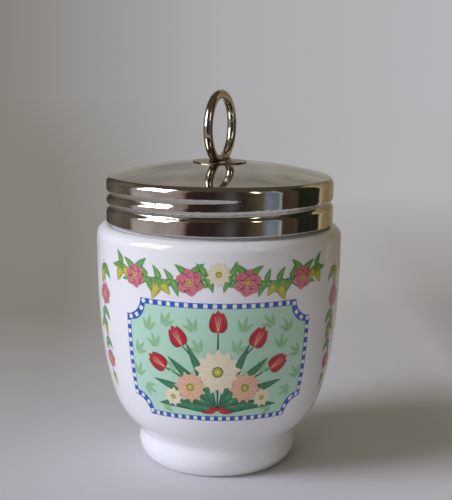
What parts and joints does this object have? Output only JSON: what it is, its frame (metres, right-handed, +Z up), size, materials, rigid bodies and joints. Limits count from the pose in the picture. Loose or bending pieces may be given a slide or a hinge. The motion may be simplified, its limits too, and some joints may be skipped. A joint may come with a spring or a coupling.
{
  "type": "egg coddler",
  "caption": "Lidded porcelain cup for cooking an egg in hot water, closed by a pressed metal screw lid with an upright wire lifting ring.",
  "frame": {"origin": "on the pot's axis, in the plane that the foot ring stands on", "axes": "+Z up along the axis that the lid turns about; the printed front looks to -Y"},
  "size_m": [0.069, 0.069, 0.1056],
  "materials": {
    "porcelain": "white glazed hard porcelain with coloured prints under the glaze",
    "plated_sheet": "pressed sheet, bright plated and polished",
    "plated_wire": "bright plated round wire, lightly tarnished",
    "base_metal": "plated disc, a little duller than the lid",
    "braze": "small uneven mound of braze, darkened"
  },
  "bodies": {
    "pot": {"pot": "porcelain"},
    "lid_lift": {"ring_base": "base_metal"},
    "lid": {"lid_shell": "plated_sheet", "lift_ring": "plated_wire", "ring_braze": "braze"}
  },
  "joints": [
    {"name": "lid_rise", "type": "slide", "parent": "pot", "child": "lid_lift", "axis": [0, 0, 1], "range_m": [0, 0.0137]},
    {"name": "lid_turn", "type": "hinge", "parent": "lid_lift", "child": "lid", "pos_m": [0, 0, 0.08], "axis": [0, 0, 1], "range_deg": [0, 1440]}
  ],
  "couplings": [
    {"joint": "lid_rise", "follows": "lid_turn", "m_per_rad": 0.00054113}
  ]
}
